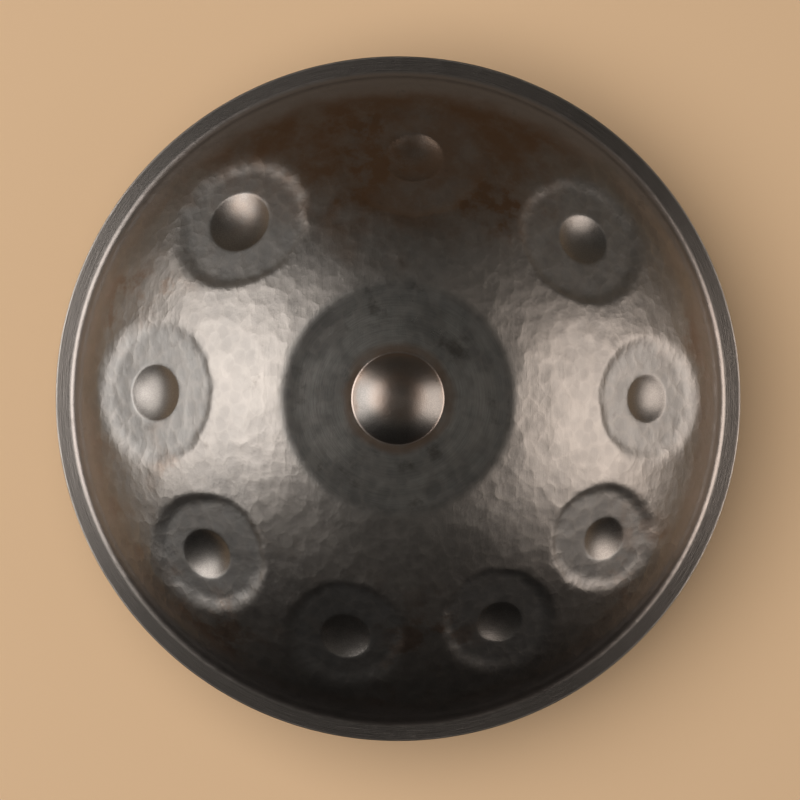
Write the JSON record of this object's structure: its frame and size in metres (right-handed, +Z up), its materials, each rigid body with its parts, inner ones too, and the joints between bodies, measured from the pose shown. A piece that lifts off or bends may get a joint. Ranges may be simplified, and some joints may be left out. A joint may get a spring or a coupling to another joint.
{
  "type": "handpan",
  "caption": "Lens-shaped steel handpan: a raised centre note in a ring of sunken hammered tone fields, a flat glued rim, and a round port underneath.",
  "frame": {"origin": "centre of the flat land round the port that the instrument rests on, on the axis, at the lowest level", "axes": "+Z up along the instrument's axis through the port and the ding, +Y towards the first tone field, which is the one furthest from the player, +X to the player's right"},
  "size_m": [0.56, 0.56, 0.2241],
  "materials": {
    "top_steel": "nitrided and lightly brushed, satin, with brown tints and hammer marks",
    "bottom_steel": "nitrided, satin, with faint turning rings",
    "epoxy": "dark cured epoxy, semi-matte"
  },
  "bodies": {
    "root": {"top_shell": "top_steel", "bottom_shell": "bottom_steel", "adhesive_bead": "epoxy"}
  },
  "joints": []
}
